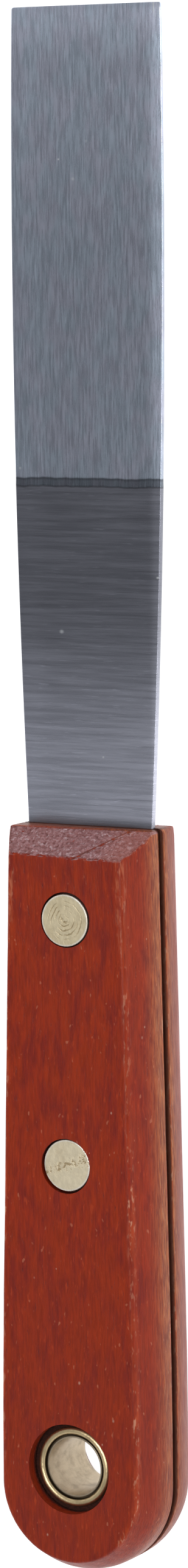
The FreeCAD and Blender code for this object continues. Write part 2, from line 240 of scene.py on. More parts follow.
def blade_stations():
    """Places along the strip where its cross-section is set, close together where it changes."""
    stations = [BUTT_CENTRE_Y - TANG_HALF_WIDTH * math.cos(math.pi / 2 * i / TANG_END_STEPS)
                for i in range(1, TANG_END_STEPS)]
    stations += list(np.linspace(BUTT_CENTRE_Y, HANDLE_FRONT_Y, 40))
    stations += list(np.linspace(HANDLE_FRONT_Y, TAPER_START_Y, 60)[1:])
    stations += list(np.linspace(TAPER_START_Y, TAPER_START_Y + TAPER_RUNOUT, 9)[1:])
    stations += list(np.linspace(TAPER_START_Y + TAPER_RUNOUT, TIP_Y - TIP_CORNER_RADIUS, 80)[1:])
    return stations + [TIP_Y - 0.12 * MM, TIP_Y - 0.03 * MM, TIP_Y]


def blade_ring(y):
    """Cross-section of the strip: crowned faces between eased edges."""
    to_tip = TIP_Y - y
    before_tip = max(TIP_CORNER_RADIUS - to_tip, 0)
    tuck = TIP_CORNER_RADIUS - math.sqrt(TIP_CORNER_RADIUS ** 2 - before_tip ** 2)
    width = half_width_at(y) - tuck
    thick = half_thickness_at(y) - min(tuck, EDGE_ROUND)
    flat = width - EDGE_ROUND
    across = [-1 + 2 * i / FACE_COLUMNS for i in range(FACE_COLUMNS + 1)]
    across = [flat * math.copysign(1 - (1 - abs(s)) ** FACE_CROWDING, s) for s in across]
    face = []
    for x in across:
        crown = CROWN_DROP * math.exp(-(flat - abs(x)) / CROWN_REACH) if y > HANDLE_FRONT_Y else 0
        wave = noise.noise(Vector((x / FACE_WAVE_SIZE[0], y / FACE_WAVE_SIZE[1], 0)))
        face.append((x, thick - crown - abs(wave) * FACE_WAVE_DEPTH))
    edge_top = face[-1][1]
    angles = [math.pi / 2 * i / EDGE_STEPS for i in range(1, EDGE_STEPS + 1)]
    turn = [(flat + EDGE_ROUND * math.sin(a), edge_top - EDGE_ROUND * (1 - math.cos(a)))
            for a in angles]
    upper = [(-x, z) for x, z in reversed(turn)] + face + turn
    lower = [(x, -z) for x, z in reversed(upper)]
    return [(x, y, MID_Z + z) for x, z in upper + lower]


def make_blade(finish):
    """The spring steel strip, blade and tang in one."""
    piece = new_piece("blade_steel", mesh_from_rings([blade_ring(y) for y in blade_stations()]))
    for centre, radius in ((FRONT_RIVET, RIVET_HOLE_RADIUS), (REAR_RIVET, RIVET_HOLE_RADIUS),
                           (EYELET, EYELET_HOLE_RADIUS)):
        drill(piece, centre, radius)
    piece.data.materials.clear()
    piece.data.materials.append(finish)
    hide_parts("blade")
    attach(piece, "root")


# ---------------------------------------------------------------- handle scales

def bevel_depth(points):
    """How far each point lies behind the handle's front bevel, along the handle."""
    side = np.sign(points[:, 2] - MID_Z)
    share = (points[:, 0] * side / BUTT_RADIUS + 1) / 2
    land = BEVEL_LAND[0] + (BEVEL_LAND[1] - BEVEL_LAND[0]) * share
    length = BEVEL_LENGTH[0] + (BEVEL_LENGTH[1] - BEVEL_LENGTH[0]) * share
    height = np.abs(points[:, 2] - MID_Z) - STEEL_THICKNESS / 2
    slope = length / (SCALE_THICKNESS - land)
    return HANDLE_FRONT_Y - (height - land) * slope - points[:, 1]


def distance_to_tool_mark(points):
    """Distance in plan from each point to the score across the front bevel."""
    along = (TOOL_MARK_END - TOOL_MARK_START).normalized()
    offset = points - np.array(TOOL_MARK_START)
    return np.abs(offset[:, 0] * along.y - offset[:, 1] * along.x)


def dent_depth(points, seed, count):
    """A few shallow knocks scattered over the handle."""
    chance = random.Random(seed)
    depth = np.zeros(len(points))
    for _ in range(count):
        place = np.array([chance.uniform(-0.9, 0.9) * BUTT_RADIUS,
                          chance.uniform(FACE_LOW.y, HANDLE_FRONT_Y),
                          MID_Z + chance.choice((-1, 1)) * chance.uniform(0.2, 1) * SCALE_THICKNESS])
        width = chance.uniform(0.35, 0.9) * MM
        distance = np.linalg.norm(points - place, axis=1)
        depth += chance.uniform(0.05, 0.12) * MM * np.exp(-(distance / width) ** 2)
    return depth


def wear_scale(mesh, seed, scored):
    """Move the skin of a scale inwards: waves, dents, a rough front bevel, ragged seam edges."""
    points = points_of(mesh)
    normals = points_of(mesh, "normal")
    outward = normals[:, 2] * np.sign(points[:, 2] - MID_Z)
    outer = smooth_step(outward, -0.5, 0.0)

    depth = WAVE_DEPTH * (1 + cloud(points, (6 * MM, 22 * MM, 6 * MM), 2))
    depth += dent_depth(points, seed, DENT_COUNT)

    behind = bevel_depth(points) + 0.25 * MM * cloud(points, (1.6 * MM, 3 * MM, 3 * MM), 3)
    on_bevel = smooth_step(-behind, -0.55 * MM, -0.15 * MM)
    lumps = 1 + cloud(points, (0.5 * MM, 0.6 * MM, 0.6 * MM), 3)
    depth += on_bevel * LUMP_DEPTH * lumps
    torn = smooth_step(cloud(points + TEAR_SHIFT, (0.9 * MM, 1.1 * MM, 1.1 * MM), 2), 0.12, 0.5)
    depth += on_bevel * TEAR_DEPTH * torn
    if scored:
        mark = distance_to_tool_mark(points)
        depth += on_bevel * TOOL_MARK_DEPTH * np.exp(-(mark / TOOL_MARK_WIDTH) ** 2)

    from_seam = np.abs(points[:, 2] - MID_Z) - STEEL_THICKNESS / 2
    near_seam = 1 - smooth_step(from_seam, 0.25 * MM, 0.75 * MM)
    ragged = 1 + cloud(points, (0.8 * MM, 2.4 * MM, 1.2 * MM), 3)
    depth += near_seam * RAGGED_DEPTH * ragged

    points -= normals * (depth * outer)[:, None]
    points = np.clip(points, np.array(cad_box[0]), np.array(cad_box[1]))
    mesh.vertices.foreach_set("co", points.ravel())
    mesh.update()


def make_scale(node, name, finish, seed, scored=False):
    """One wooden half of the handle, worked over from its CAD shape."""
    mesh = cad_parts[node].data.copy()
    build = bmesh.new()
    build.from_mesh(mesh)
    bmesh.ops.remove_doubles(build, verts=build.verts, dist=MERGE_GAP)
    build.to_mesh(mesh)
    build.free()
    piece = new_piece(name, mesh)
    skin = piece.modifiers.new("even skin", "REMESH")
    skin.mode = "SHARP"
    skin.octree_depth = SKIN_OCTREE_DEPTH
    skin.scale = SKIN_FIT
    skin.use_remove_disconnected = False
    apply_modifiers(piece)

    build = bmesh.new()
    build.from_mesh(piece.data)
    front = [face for face in build.faces
             if min(vert.co.y for vert in face.verts) > HANDLE_FRONT_Y - FINE_FRONT_LENGTH]
    edges = list({edge for face in front for edge in face.edges})
    bmesh.ops.subdivide_edges(build, edges=edges, cuts=FINE_FRONT_CUTS, use_grid_fill=True)
    build.to_mesh(piece.data)
    build.free()

    wear_scale(piece.data, seed, scored)
    piece.data.polygons.foreach_set("use_smooth", [True] * len(piece.data.polygons))
    piece.data.set_sharp_from_angle(angle=SHARP_ANGLE)
    piece.data.materials.clear()
    piece.data.materials.append(finish)
    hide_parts(node)
    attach(piece, "root")


# ---------------------------------------------------------------- wiring of shader nodes

class Wiring:
    """Adds nodes to one tree. A value given to a socket is a number, a colour or a socket."""

    def __init__(self, tree):
        self.tree = tree
        self.column = 0

    def feed(self, socket, value):
        """Link a socket from another one, or set it to a number or colour."""
        if isinstance(value, bpy.types.NodeSocket):
            self.tree.links.new(value, socket)
        else:
            socket.default_value = value

    def node(self, kind, sockets=None, **settings):
        """Add a node, set it up and feed its sockets by name."""
        node = self.tree.nodes.new(kind)
        self.column += 1
        node.location = (self.column * 180, 0)
        for name, value in settings.items():
            setattr(node, name, value)
        for name, value in (sockets or {}).items():
            self.feed(node.inputs[name], value)
        return node

    def maths(self, operation, a, b=0.0, c=0.0):
        """Result of a number operation."""
        node = self.node("ShaderNodeMath", operation=operation)
        for socket, value in zip(node.inputs, (a, b, c)):
            self.feed(socket, value)
        return node.outputs[0]

    def vector_maths(self, operation, a, b):
        """Result of a vector operation."""
        node = self.node("ShaderNodeVectorMath", operation=operation)
        self.feed(node.inputs[0], a)
        self.feed(node.inputs[1], b)
        return node.outputs[0]

    def split(self, vector):
        """The three numbers of a vector."""
        return self.node("ShaderNodeSeparateXYZ", {"Vector": vector}).outputs

    def ease(self, value, low, high, at_low=0.0, at_high=1.0):
        """Smooth change from at_low to at_high as value goes from low to high."""
        node = self.node("ShaderNodeMapRange", interpolation_type="SMOOTHSTEP")
        for socket, item in zip(node.inputs, (value, low, high, at_low, at_high)):
            self.feed(socket, item)
        return node.outputs[0]

    def mix(self, share, a, b):
        """Number between a and b."""
        node = self.node("ShaderNodeMix", data_type="FLOAT")
        for socket, item in zip((node.inputs[0], node.inputs[2], node.inputs[3]), (share, a, b)):
            self.feed(socket, item)
        return node.outputs[0]

    def blend(self, share, a, b):
        """Colour between a and b."""
        node = self.node("ShaderNodeMix", data_type="RGBA")
        for socket, item in zip((node.inputs[0], node.inputs[6], node.inputs[7]), (share, a, b)):
            self.feed(socket, item)
        return node.outputs[2]

    def shade(self, colour, value):
        """Multiply a colour by a number."""
        node = self.node("ShaderNodeVectorMath", {"Scale": value}, operation="SCALE")
        self.feed(node.inputs[0], colour)
        return node.outputs[0]

    def effect(self, group, **sockets):
        """Place a shared effect with its own values. Underscores stand for spaces."""
        node = self.node("ShaderNodeGroup", node_tree=group)
        for name, value in sockets.items():
            self.feed(node.inputs[name.replace("_", " ")], value)
        return node.outputs[0]

    def bump(self, height, distance, normal=None):
        """Normal of a surface raised by height, on top of an earlier normal if given."""
        node = self.node("ShaderNodeBump", {"Height": height, "Distance": distance})
        if normal is not None:
            self.feed(node.inputs["Normal"], normal)
        return node.outputs["Normal"]


def new_effect(name, inputs, output):
    """Start a node group: its wiring, its inputs, its output socket and its tree."""
    tree = bpy.data.node_groups.new(name, "ShaderNodeTree")
    for label, kind in inputs.items():
        tree.interface.new_socket(label, in_out="INPUT", socket_type=f"NodeSocket{kind}")
    tree.interface.new_socket(output, in_out="OUTPUT", socket_type="NodeSocketFloat")
    w = Wiring(tree)
    given = w.node("NodeGroupInput").outputs
    leave = tree.nodes.new("NodeGroupOutput")
    return w, given, leave.inputs[0], tree


def make_streaks():
    """Noise stretched along chosen directions: brushing, belt lines, fibres, clouds."""
    w, given, out, tree = new_effect(
        "streaks", {"Position": "Vector", "Density": "Vector", "Detail": "Float",
                    "Low": "Float", "High": "Float"}, "Streak")
    stretched = w.vector_maths("MULTIPLY", given["Position"], given["Density"])
    grain = w.node("ShaderNodeTexNoise", {"Vector": stretched, "Scale": 1.0, "Roughness": 0.6,
                                          "Detail": given["Detail"]})
    w.feed(out, w.ease(grain.outputs["Fac"], given["Low"], given["High"]))
    return tree


def make_specks():
    """Scattered small spots of uneven size."""
    w, given, out, tree = new_effect(
        "specks", {"Position": "Vector", "Density": "Vector", "Share": "Float",
                   "Size": "Float"}, "Speck")
    stretched = w.vector_maths("MULTIPLY", given["Position"], given["Density"])
    cells = w.node("ShaderNodeTexVoronoi", {"Vector": stretched, "Scale": 1.0})
    chance = w.node("ShaderNodeSeparateColor", {"Color": cells.outputs["Color"]}).outputs
    kept = w.maths("LESS_THAN", chance[0], given["Share"])
    reach = w.maths("MULTIPLY", given["Size"], w.maths("ADD", chance[1], 0.3))
    spot = w.ease(cells.outputs["Distance"], 0.0, reach, 1.0, 0.0)
    w.feed(out, w.maths("MULTIPLY", spot, kept))
    return tree


STREAKS = make_streaks()
SPECKS = make_specks()


def new_material(name):
    """A material with a Principled shader: its wiring, shader and object position."""
    material = bpy.data.materials.new(name)
    material.use_nodes = True
    w = Wiring(material.node_tree)
    shader = material.node_tree.nodes["Principled BSDF"]
    place = w.node("ShaderNodeTexCoord").outputs["Object"]
    return material, w, shader, place


# ---------------------------------------------------------------- steel

STEEL_BLUE = (0.425, 0.482, 0.570, 1)
STEEL_MAUVE = (0.447, 0.467, 0.560, 1)
STEEL_BELT = (0.51, 0.52, 0.605, 1)
STEEL_GLINT = (0.85, 0.87, 0.9, 1)
GRIND_RELIEF = 0.0025 * MM


def tapered_grind(w, place, y):
    """The taper, brushed lengthwise and worn at the tip: its tone, hairlines and brush marks."""
    hair = w.effect(STREAKS, Position=place, Density=(8000, 420, 60), Detail=3, Low=0.3, High=0.7)
    brush = w.effect(STREAKS, Position=place, Density=(3400, 230, 20), Detail=3, Low=0.3, High=0.7)
    mottle = w.effect(STREAKS, Position=place, Density=(420, 240, 20), Detail=3, Low=0.35, High=0.65)
    tone = w.maths("MULTIPLY_ADD", hair, 0.17, w.maths("MULTIPLY_ADD", brush, 0.11, 0.82))
    tone = w.maths("MULTIPLY_ADD", mottle, 0.08, tone)
    worn_tip = w.maths("MULTIPLY", w.ease(y, TIP_Y - 37 * MM, TIP_Y - 9 * MM, 0.81, 1.0),
                       w.ease(y, TIP_Y - 9 * MM, TIP_Y, 1.0, 1.35))
    return w.maths("MULTIPLY", tone, worn_tip), hair, brush


def belt_grind(w, place, y):
    """The thick lower blade, belt-ground crosswise: its tone, lines and bands.

    A painted reflection brightens it towards the handle, except for a painted shadow right in front of
    it.
    """
    line = w.effect(STREAKS, Position=place, Density=(300, 7500, 60), Detail=3, Low=0.3, High=0.7)
    band = w.effect(STREAKS, Position=place, Density=(60, 1500, 20), Detail=3, Low=0.3, High=0.7)
    scratch = w.effect(STREAKS, Position=place, Density=(50, 3800, 40), Detail=2, Low=0.63, High=0.70)
    glint = w.effect(STREAKS, Position=place, Density=(330, 4600, 40), Detail=2, Low=0.64, High=0.74)
    tone = w.maths("MULTIPLY_ADD", line, 0.12, w.maths("MULTIPLY_ADD", band, 0.07, 0.89))
    tone = w.maths("MULTIPLY_ADD", scratch, -0.16, tone)
    tone = w.maths("MULTIPLY_ADD", glint, 0.30, tone)
    # painted reflection and painted shadow: lighter towards the handle, dark right in front of it
    reflection_lift = w.ease(y, HANDLE_FRONT_Y + 35.5 * MM, HANDLE_FRONT_Y + 2.2 * MM, 0.37, 1.02)
    foot_shadow = w.ease(y, HANDLE_FRONT_Y + 0.1 * MM, HANDLE_FRONT_Y + 1.8 * MM, 0.50, 1.0)
    return w.maths("MULTIPLY", tone, w.maths("MULTIPLY", reflection_lift, foot_shadow)), line, band


def step_shadow(w, along, tapered):
    """Dark lines on both sides of the step where the taper starts, and the dim strip between."""
    step_end = TAPER_START_Y + TAPER_RUNOUT
    from_start = w.maths("ABSOLUTE", w.maths("SUBTRACT", along, TAPER_START_Y + 0.05 * MM))
    from_end = w.maths("ABSOLUTE", w.maths("SUBTRACT", along, step_end))
    lower_line = w.ease(from_start, 0.05 * MM, 0.22 * MM, 0.55, 1.0)
    upper_line = w.ease(from_end, 0.05 * MM, 0.35 * MM, 0.70, 1.0)
    strip = w.mix(tapered, 1.0, w.ease(along, step_end + 0.2 * MM, step_end, 1.0, 0.40))
    return w.maths("MULTIPLY", lower_line, w.maths("MULTIPLY", upper_line, strip))


def make_steel():
    """Spring steel: brushed lengthwise where it is taper-ground, belt-ground crosswise below."""
    material, w, shader, place = new_material("ground_steel")
    x, y, _ = w.split(place)
    wander = w.effect(STREAKS, Position=place, Density=(220, 0, 0), Detail=2, Low=0, High=1)
    along = w.maths("MULTIPLY_ADD", wander, 0.5 * MM, y)
    tapered = w.ease(along, TAPER_START_Y, TAPER_START_Y + 0.15 * MM)
    brushed, hair, brush = tapered_grind(w, place, y)
    crossed, line, band = belt_grind(w, place, y)

    # painted highlights: lighter along the blade's right edge and a little along its left edge
    right_rim_highlight = w.ease(x, TIP_HALF_WIDTH - 2.4 * MM, TIP_HALF_WIDTH - 0.9 * MM, 1.0, 1.38)
    rim_highlights = w.maths("MULTIPLY", right_rim_highlight, w.ease(x, -5.5 * MM, -10.5 * MM, 1.0, 1.09))
    dark = step_shadow(w, along, tapered)
    tone = w.maths("MULTIPLY", w.mix(tapered, crossed, brushed), w.maths("MULTIPLY", dark, rim_highlights))
    cast = w.effect(STREAKS, Position=place, Density=(300, 180, 20), Detail=3, Low=0.38, High=0.62)
    hue = w.blend(tapered, STEEL_BELT, w.blend(cast, STEEL_BLUE, STEEL_MAUVE))
    speck = w.effect(SPECKS, Position=place, Density=(430, 520, 300), Share=0.05, Size=0.20)
    w.feed(shader.inputs["Base Color"], w.blend(speck, w.shade(hue, tone), STEEL_GLINT))

    w.feed(shader.inputs["Normal"], w.bump(w.mix(tapered, line, hair), GRIND_RELIEF))
    w.feed(shader.inputs["Roughness"], w.mix(w.mix(tapered, band, brush), 0.24, 0.32))
    shader.inputs["Metallic"].default_value = 1.0
    return material


# ---------------------------------------------------------------- wood

FACE_DARK = (0.195, 0.0135, 0.0060, 1)
FACE_LIGHT = (0.285, 0.0220, 0.0035, 1)
FACE_ORANGE = (0.310, 0.0300, 0.0050, 1)
FLANK_DARK = (0.195, 0.0250, 0.0040, 1)
FLANK_LIGHT = (0.420, 0.1200, 0.0300, 1)
BUTT_BROWN = (0.215, 0.026, 0.0120, 1)
BACK_FLANK_SHEEN = (0.290, 0.125, 0.115, 1)
PORE_BROWN = (0.095, 0.010, 0.008, 1)
GLINT_ORANGE = (0.480, 0.060, 0.014, 1)
SPECK_PALE = (0.620, 0.380, 0.280, 1)
FIBRE_GLINT_PALE = (0.600, 0.280, 0.120, 1)
WORN_AND_SHEEN_ORANGE = (0.500, 0.072, 0.018, 1)
CHIP_PALE = (0.640, 0.330, 0.210, 1)
SPLINTER_ORANGE = (0.560, 0.165, 0.080, 1)
FLECK_ORANGE = (0.520, 0.170, 0.095, 1)
END_DARK = (0.215, 0.072, 0.066, 1)
END_SHEEN_PINK = (0.420, 0.215, 0.220, 1)
END_HOLLOW_SHADE = (0.115, 0.026, 0.020, 1)
END_GLINT = (0.590, 0.410, 0.425, 1)
END_RED = (0.400, 0.115, 0.075, 1)
SCORE_BROWN = (0.130, 0.024, 0.012, 1)
LAND_SHADOW_BROWN = (0.075, 0.022, 0.012, 1)
RECESS_SHADE_DARK = (0.030, 0.010, 0.007, 1)
RECESS_SHADE_LIGHT = (0.060, 0.016, 0.010, 1)
SEAM_SHADE_BROWN = (0.050, 0.013, 0.007, 1)
LACQUER_IOR = 1.29


def depth_behind_bevel(w, place):
    """Distance of the surface behind the handle's front bevel, along the handle."""
    x, y, z = w.split(w.vector_maths("SUBTRACT", place, (0.0, HANDLE_FRONT_Y, MID_Z)))
    share = w.maths("MULTIPLY_ADD", w.maths("MULTIPLY", x, w.maths("SIGN", z)),
                    0.5 / BUTT_RADIUS, 0.5)
    land = w.mix(share, *BEVEL_LAND)
    length = w.mix(share, *BEVEL_LENGTH)
    height = w.maths("SUBTRACT", w.maths("ABSOLUTE", z), STEEL_THICKNESS / 2)
    slope = w.maths("DIVIDE", length, w.maths("SUBTRACT", SCALE_THICKNESS, land))
    climbed = w.maths("MULTIPLY", w.maths("SUBTRACT", height, land), slope)
    return w.maths("SUBTRACT", w.maths("MULTIPLY", climbed, -1.0), y)


def distance_from_axis(w, place, centre):
    """Distance in plan from an upright axis."""
    x, y, _ = w.split(w.vector_maths("SUBTRACT", place, tuple(centre)))
    return w.maths("SQRT", w.maths("MULTIPLY_ADD", x, x, w.maths("MULTIPLY", y, y)))


def tool_score(w, place):
    """1 along the score across the front scale's bevel, 0 away from it."""
    along = (TOOL_MARK_END - TOOL_MARK_START).normalized()
    x, y, z = w.split(w.vector_maths("SUBTRACT", place, tuple(TOOL_MARK_START)))
    across = w.maths("MULTIPLY_ADD", x, along.y, w.maths("MULTIPLY", y, -along.x))
    line = w.ease(w.maths("ABSOLUTE", across), 0.05 * MM, TOOL_MARK_WIDTH, 1.0, 0.0)
    return w.maths("MULTIPLY", line, w.maths("GREATER_THAN", z, MID_Z))


def sunk_near(w, place, height, centre, radius, shallow, deep):
    """1 down in a counterbore, easing to 0 up its wall and on the face around it."""
    reach = distance_from_axis(w, place, centre)
    depth = w.maths("SUBTRACT", SCALE_THICKNESS, height)
    return w.maths("MULTIPLY", w.ease(reach, radius, radius + 0.15 * MM, 1.0, 0.0),
                   w.ease(depth, shallow, deep))


def wood_spot(w, place):
    """What the wood's effects read at each spot: its place, facing and height above the steel."""
    x, y, z = w.split(place)
    geometry = w.node("ShaderNodeNewGeometry")
    height = w.maths("SUBTRACT", w.maths("ABSOLUTE", w.maths("SUBTRACT", z, MID_Z)),
                     STEEL_THICKNESS / 2)
    bend = w.effect(STREAKS, Position=place, Density=(70, 24, 70), Detail=2, Low=0, High=1)
    sway = w.node("ShaderNodeCombineXYZ", {"X": w.maths("MULTIPLY", bend, 2.2 * MM)}).outputs[0]
    grain = w.vector_maths("ADD", place, sway)
    fibre = w.effect(STREAKS, Position=grain, Density=(3200, 330, 3200), Detail=4, Low=0.28, High=0.72)
    pore = w.effect(STREAKS, Position=grain, Density=(3000, 520, 3000), Detail=2, Low=0.64, High=0.78)
    cloud_stain = w.effect(STREAKS, Position=place, Density=(340, 120, 340), Detail=5,
                           Low=0.38, High=0.62)
    rough = w.effect(STREAKS, Position=place, Density=(2000, 2000, 2000), Detail=4, Low=0.25, High=0.75)
    return SimpleNamespace(place=place, grain=grain, x=x, y=y, z=z, height=height, fibre=fibre,
                           pore=pore, stain=cloud_stain, rough=rough,
                           normal=w.split(geometry.outputs["Normal"]),
                           pointiness=geometry.outputs["Pointiness"])


def stained_colour(w, spot):
    """Red face and browner, paler flanks, with pores, glinting fibres, a few pale specks, painted glints
    of pale fibres near the seam and painted sheen on the back scale's flank.
    """
    figure = w.effect(STREAKS, Position=spot.grain, Density=(880, 170, 880), Detail=4,
                      Low=0.36, High=0.64)
    glint = w.effect(STREAKS, Position=spot.grain, Density=(2300, 520, 2300), Detail=2,
                     Low=0.60, High=0.76)
    speck = w.effect(SPECKS, Position=spot.place, Density=(520, 380, 520), Share=0.12, Size=0.12)
    pale = w.effect(STREAKS, Position=spot.grain, Density=(2600, 380, 2600), Detail=3,
                    Low=0.55, High=0.72)
    flank = w.ease(spot.height, 5.6 * MM, 0.4 * MM)

    red = w.blend(figure, FACE_DARK, FACE_LIGHT)
    red = w.blend(w.maths("MULTIPLY", spot.stain, 0.6), red, FACE_ORANGE)
    brown = w.blend(spot.fibre, FLANK_DARK, FLANK_LIGHT)
    colour = w.blend(flank, red, brown)
    near_butt = w.ease(spot.y, -50 * MM, BUTT_CENTRE_Y, 0.0, 0.30)
    colour = w.blend(near_butt, colour, BUTT_BROWN)
    colour = w.shade(colour, w.ease(spot.fibre, 0.0, 1.0, 0.88, 1.12))
    colour = w.blend(w.maths("MULTIPLY", spot.pore, 0.55), colour, PORE_BROWN)
    colour = w.blend(w.maths("MULTIPLY", glint, 0.42), colour, GLINT_ORANGE)
    colour = w.blend(w.maths("MULTIPLY", speck, 0.6), colour, SPECK_PALE)
    # painted glints: pale fibres on the lower flank near the seam
    pale = w.maths("MULTIPLY", pale, w.ease(spot.height, 4.5 * MM, 0.8 * MM, 0.0, 0.45))
    colour = w.blend(pale, colour, FIBRE_GLINT_PALE)
    # painted sheen: pinkish light on the back scale's flank
    back_sheen = w.ease(spot.z, MID_Z - 1.0 * MM, MID_Z - 3.0 * MM, 0.0, 0.6)
    return w.blend(w.maths("MULTIPLY", flank, back_sheen), colour, BACK_FLANK_SHEEN)


def rubbed_and_sheen_edges(w, spot, colour):
    """Colour rubbed light along the outline, most of all at the front corners; along the creases partly
    wear and partly a painted sheen line.
    """
    facing_out = w.maths("ABSOLUTE", spot.normal[2])
    # painted highlight and wear: the crease line between face and flank is coloured as lacquer sheen and
    # as rubbing
    crease_sheen = w.maths("MULTIPLY", w.ease(spot.height, 6.9 * MM, 7.7 * MM), w.ease(facing_out, 0.99, 0.94))
    aside = w.maths("ABSOLUTE", spot.x)
    outline = w.ease(aside, 8.0 * MM, 8.6 * MM)
    corner = w.maths("ABSOLUTE", w.maths("SUBTRACT", aside, 9.3 * MM))
    corner = w.maths("MULTIPLY", w.ease(corner, 0.9 * MM, 0.2 * MM),
                     w.ease(spot.height, 6.2 * MM, 7.0 * MM))
    knocked = w.maths("MULTIPLY", corner, w.ease(spot.y, HANDLE_FRONT_Y - 22 * MM,
                                                 HANDLE_FRONT_Y - 5 * MM, 0.0, 0.9))
    edge = w.maths("MAXIMUM", w.ease(spot.pointiness, 0.505, 0.535), crease_sheen)
    edge = w.maths("MAXIMUM", edge, knocked)
    rubbed = w.effect(STREAKS, Position=spot.place, Density=(90, 45, 90), Detail=2, Low=0.42, High=0.60)
    edge = w.maths("MULTIPLY", edge, w.maths("MULTIPLY", outline, w.mix(rubbed, 0.35, 1.0)))

    broken = w.effect(STREAKS, Position=spot.grain, Density=(900, 210, 900), Detail=3,
                      Low=0.36, High=0.60)
    colour = w.blend(w.maths("MULTIPLY", edge, w.maths("MULTIPLY", broken, 0.70)), colour, WORN_AND_SHEEN_ORANGE)
    chip = w.effect(STREAKS, Position=spot.grain, Density=(1900, 620, 1900), Detail=2,
                    Low=0.55, High=0.66)
    colour = w.blend(w.maths("MULTIPLY", edge, w.maths("MULTIPLY", chip, 0.65)), colour, CHIP_PALE)
    splinter = w.effect(STREAKS, Position=spot.grain, Density=(2600, 300, 2600), Detail=3,
                        Low=0.46, High=0.64)
    splinter = w.maths("MULTIPLY", knocked, w.maths("MULTIPLY", splinter, 0.75))
    colour = w.blend(splinter, colour, SPLINTER_ORANGE)
    fleck = w.effect(STREAKS, Position=spot.place, Density=(1500, 800, 1500), Detail=1,
                     Low=0.71, High=0.78)
    return w.blend(w.maths("MULTIPLY", fleck, 0.45), colour, FLECK_ORANGE)


def end_grain_share(w, spot, on_land):
    """1 on the rough front bevel, 0 on the lacquered wood and on the upright land below it."""
    tear = w.effect(STREAKS, Position=spot.place, Density=(650, 330, 330), Detail=3, Low=0, High=1)
    behind = w.maths("SUBTRACT", depth_behind_bevel(w, spot.place), 0.35 * MM)
    behind = w.maths("MULTIPLY_ADD", tear, 0.7 * MM, behind)
    tilt = w.ease(spot.normal[1], 0.28, 0.50)
    share = w.maths("MAXIMUM", w.ease(behind, 0.5 * MM, 0.1 * MM),
                    w.maths("MULTIPLY", tilt, w.ease(behind, 2.2 * MM, 1.5 * MM)))
    return w.maths("MULTIPLY", share, w.maths("SUBTRACT", 1.0, on_land))


def end_grain_colour(w, spot):
    """Greyish torn fibres with painted shade in the hollows, painted sheen on the lumps, pale glints and
    the score; redder on the right.
    """
    # painted shade in the hollows and painted highlights on the lumps of the end grain
    hollow_shade = w.ease(spot.pointiness, 0.520, 0.455)
    sheen = w.effect(STREAKS, Position=spot.place, Density=(1700, 1700, 1700), Detail=4,
                     Low=0.53, High=0.68)
    colour = w.blend(spot.rough, END_DARK, END_SHEEN_PINK)
    colour = w.blend(w.maths("MULTIPLY", hollow_shade, 0.55), colour, END_HOLLOW_SHADE)
    colour = w.blend(w.maths("MULTIPLY", sheen, 0.75), colour, END_GLINT)
    colour = w.blend(w.maths("MULTIPLY", tool_score(w, spot.place), 0.8), colour, SCORE_BROWN)
    return w.blend(w.ease(spot.x, 3.5 * MM, 9.0 * MM, 0.0, 0.35), colour, END_RED)


def counterbore_share(w, spot):
    """1 down in the counterbores of the eyelet and the rivets, 0 elsewhere."""
    sunk = sunk_near(w, spot.place, spot.height, EYELET, EYELET_COUNTERBORE_REACH,
                     1.1 * MM, 2.1 * MM)
    for rivet in (FRONT_RIVET, REAR_RIVET):
        beside = sunk_near(w, spot.place, spot.height, rivet, RIVET_COUNTERBORE_REACH,
                           0.05 * MM, 0.3 * MM)
        sunk = w.maths("MAXIMUM", sunk, beside)
    return sunk


def make_wood():
    """Red-brown stained wood under thin lacquer, with rough end grain on the front bevel."""
    material, w, shader, place = new_material("stained_wood")
    spot = wood_spot(w, place)
    colour = rubbed_and_sheen_edges(w, spot, stained_colour(w, spot))

    on_land = w.ease(spot.y, HANDLE_FRONT_Y - 0.30 * MM, HANDLE_FRONT_Y - 0.12 * MM)
    end_grain = end_grain_share(w, spot, on_land)
    colour = w.blend(end_grain, colour, end_grain_colour(w, spot))
    # painted shadow: the land darkens down towards the steel, under the blade
    shadowed = w.maths("MULTIPLY", on_land, w.ease(spot.height, 0.2 * MM, 4.0 * MM, 0.75, 0.0))
    colour = w.blend(shadowed, colour, LAND_SHADOW_BROWN)

    sunk = counterbore_share(w, spot)
    # painted shade down in the counterbores of the eyelet and the rivets
    colour = w.blend(sunk, colour, w.blend(spot.rough, RECESS_SHADE_DARK, RECESS_SHADE_LIGHT))
    # painted shade along the seam where the scale meets the steel
    seam = w.ease(spot.height, 0.10 * MM, 0.50 * MM, 0.90, 0.0)
    w.feed(shader.inputs["Base Color"], w.blend(seam, colour, SEAM_SHADE_BROWN))

    skin = w.bump(w.maths("SUBTRACT", spot.fibre, spot.pore), 0.02 * MM)
    relief = w.maths("MULTIPLY", spot.rough, w.maths("MAXIMUM", end_grain, sunk))
    w.feed(shader.inputs["Normal"], w.bump(relief, 0.12 * MM, skin))
    gloss = w.mix(spot.stain, 0.42, 0.32)
    w.feed(shader.inputs["Roughness"], w.mix(w.maths("MAXIMUM", sunk, seam), gloss, 0.8))
    shader.inputs["IOR"].default_value = LACQUER_IOR
    return material


# ---------------------------------------------------------------- brass and nickel

RIM_HIGHLIGHT_PALE = (0.97, 0.93, 0.84, 1)
TARNISH_RELIEF = 0.035 * MM
RING_SPACING = 0.62 * MM
STRIKE_ACROSS = (-0.34, 0.94)


